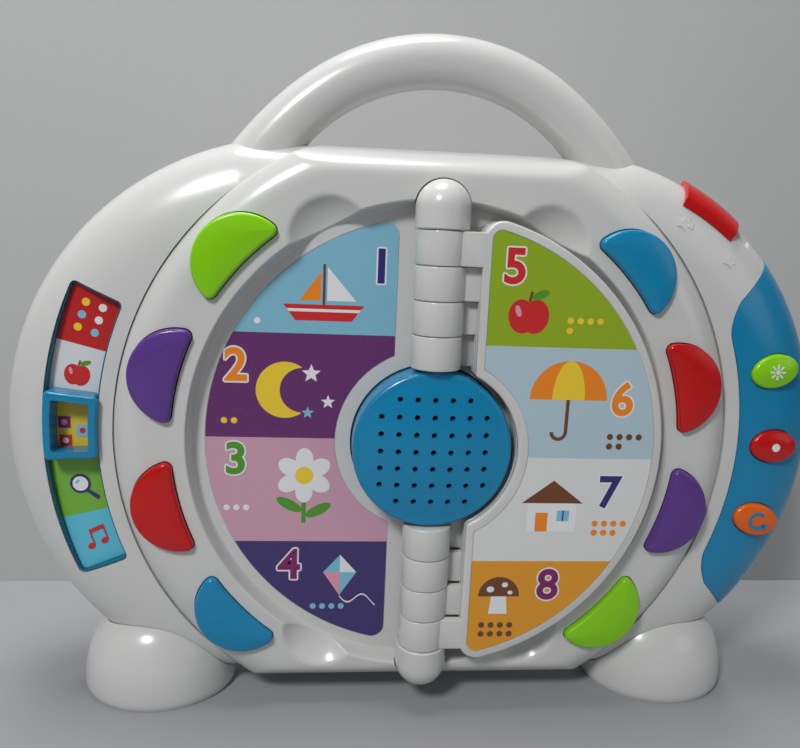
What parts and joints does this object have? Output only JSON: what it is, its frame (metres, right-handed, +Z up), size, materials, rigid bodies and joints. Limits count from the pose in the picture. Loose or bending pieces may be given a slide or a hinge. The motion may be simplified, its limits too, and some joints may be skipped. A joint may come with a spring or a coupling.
{
  "type": "interactive childrens book",
  "caption": "Talking plastic picture book with a carry handle, turning leaves on a spine, a central speaker, half-moon and oval keys, a mode slider and a volume slide.",
  "frame": {"origin": "centre of the bounding box in X and Y, on the surface that the feet stand on", "axes": "+Z up, -Y out of the front face towards the reader, +X to the reader's right"},
  "size_m": [0.371, 0.0734, 0.2994],
  "materials": {
    "white_shell": "glossy moulded white",
    "sky_plastic": "glossy moulded blue",
    "navy_plastic": "dark blue moulded tray",
    "green_key": "glossy green",
    "purple_key": "glossy purple",
    "red_key": "glossy red",
    "orange_key": "glossy orange",
    "printed_film": "printed film in bands of colour",
    "steel": "plated steel",
    "board": "circuit board",
    "keypad_rubber": "grey rubber",
    "speaker_black": "black paper cone and basket",
    "cell_case": "wrapped cell"
  },
  "bodies": {
    "case": {"front_shell": "white_shell", "rear_shell": "white_shell", "face_bezel": "white_shell", "side_panel": "sky_plastic", "foot_left": "white_shell", "foot_right": "white_shell", "speaker_grille": "sky_plastic", "speaker_driver": "speaker_black", "spine_cap_top": "white_shell", "spine_cap_bottom": "white_shell", "spine_pin_upper": "steel", "spine_pin_lower": "steel", "bed_film_left": "printed_film", "bed_film_right": "printed_film", "mode_track": "navy_plastic", "mode_strip": "printed_film", "main_board": "board", "key_board_left": "board", "key_board_right": "board", "keypad_left": "keypad_rubber", "keypad_right": "keypad_rubber", "side_key_board": "board", "side_keypad": "keypad_rubber", "battery_1": "cell_case", "battery_2": "cell_case", "battery_3": "cell_case", "battery_contact_left": "steel", "battery_contact_right": "steel", "battery_door": "white_shell", "door_screw": "steel", "case_screw_1": "steel", "case_screw_2": "steel", "case_screw_3": "steel", "case_screw_4": "steel"},
    "page_1": {"page_leaf_1": "white_shell", "page_film_front_1": "printed_film", "page_film_back_1": "printed_film"},
    "page_2": {"page_leaf_2": "white_shell", "page_film_front_2": "printed_film", "page_film_back_2": "printed_film"},
    "page_3": {"page_leaf_3": "white_shell", "page_film_front_3": "printed_film", "page_film_back_3": "printed_film"},
    "page_4": {"page_leaf_4": "white_shell", "page_film_front_4": "printed_film", "page_film_back_4": "printed_film"},
    "key_left_1": {"half_moon_left_1": "green_key"},
    "key_left_2": {"half_moon_left_2": "purple_key"},
    "key_left_3": {"half_moon_left_3": "red_key"},
    "key_left_4": {"half_moon_left_4": "sky_plastic"},
    "key_right_1": {"half_moon_right_1": "sky_plastic"},
    "key_right_2": {"half_moon_right_2": "red_key"},
    "key_right_3": {"half_moon_right_3": "purple_key"},
    "key_right_4": {"half_moon_right_4": "green_key"},
    "oval_1": {"oval_key_1": "green_key"},
    "oval_2": {"oval_key_2": "red_key"},
    "oval_3": {"oval_key_3": "orange_key"},
    "slider": {"mode_slider": "sky_plastic"},
    "power": {"power_switch": "red_key"}
  },
  "joints": [
    {"name": "page_1_turn", "type": "hinge", "parent": "case", "child": "page_1", "pos_m": [0, -0.02525, 0.125], "axis": [0, 0, -1], "range_deg": [0, 175]},
    {"name": "page_2_turn", "type": "hinge", "parent": "case", "child": "page_2", "pos_m": [0, -0.02525, 0.125], "axis": [0, 0, -1], "range_deg": [0, 175]},
    {"name": "page_3_turn", "type": "hinge", "parent": "case", "child": "page_3", "pos_m": [0, -0.02525, 0.125], "axis": [0, 0, -1], "range_deg": [0, 175]},
    {"name": "page_4_turn", "type": "hinge", "parent": "case", "child": "page_4", "pos_m": [0, -0.02525, 0.125], "axis": [0, 0, -1], "range_deg": [0, 175]},
    {"name": "key_left_1_press", "type": "slide", "parent": "case", "child": "key_left_1", "axis": [0, 1, 0], "range_m": [0, 0.0022], "stiffness_N_per_m": 600, "springref_m": -0.0005},
    {"name": "key_left_2_press", "type": "slide", "parent": "case", "child": "key_left_2", "axis": [0, 1, 0], "range_m": [0, 0.0022], "stiffness_N_per_m": 600, "springref_m": -0.0005},
    {"name": "key_left_3_press", "type": "slide", "parent": "case", "child": "key_left_3", "axis": [0, 1, 0], "range_m": [0, 0.0022], "stiffness_N_per_m": 600, "springref_m": -0.0005},
    {"name": "key_left_4_press", "type": "slide", "parent": "case", "child": "key_left_4", "axis": [0, 1, 0], "range_m": [0, 0.0022], "stiffness_N_per_m": 600, "springref_m": -0.0005},
    {"name": "key_right_1_press", "type": "slide", "parent": "case", "child": "key_right_1", "axis": [0, 1, 0], "range_m": [0, 0.0022], "stiffness_N_per_m": 600, "springref_m": -0.0005},
    {"name": "key_right_2_press", "type": "slide", "parent": "case", "child": "key_right_2", "axis": [0, 1, 0], "range_m": [0, 0.0022], "stiffness_N_per_m": 600, "springref_m": -0.0005},
    {"name": "key_right_3_press", "type": "slide", "parent": "case", "child": "key_right_3", "axis": [0, 1, 0], "range_m": [0, 0.0022], "stiffness_N_per_m": 600, "springref_m": -0.0005},
    {"name": "key_right_4_press", "type": "slide", "parent": "case", "child": "key_right_4", "axis": [0, 1, 0], "range_m": [0, 0.0022], "stiffness_N_per_m": 600, "springref_m": -0.0005},
    {"name": "oval_1_press", "type": "slide", "parent": "case", "child": "oval_1", "axis": [0, 1, 0], "range_m": [0, 0.0022], "stiffness_N_per_m": 600, "springref_m": -0.0005},
    {"name": "oval_2_press", "type": "slide", "parent": "case", "child": "oval_2", "axis": [0, 1, 0], "range_m": [0, 0.0022], "stiffness_N_per_m": 600, "springref_m": -0.0005},
    {"name": "oval_3_press", "type": "slide", "parent": "case", "child": "oval_3", "axis": [0, 1, 0], "range_m": [0, 0.0022], "stiffness_N_per_m": 600, "springref_m": -0.0005},
    {"name": "mode_slide", "type": "hinge", "parent": "case", "child": "slider", "pos_m": [0, -0.02525, 0.125], "axis": [0, 1, 0], "range_deg": [-18.8, 15.9]},
    {"name": "power_slide", "type": "hinge", "parent": "case", "child": "power", "pos_m": [0.056, -0.02525, 0.125], "axis": [0, 1, 0], "range_deg": [0, 8]}
  ],
  "couplings": [
    {"joint": "page_2_turn", "follows": "page_1_turn", "ratio": 0.9},
    {"joint": "page_3_turn", "follows": "page_1_turn", "ratio": 0.8},
    {"joint": "page_4_turn", "follows": "page_1_turn", "ratio": 0.7}
  ]
}
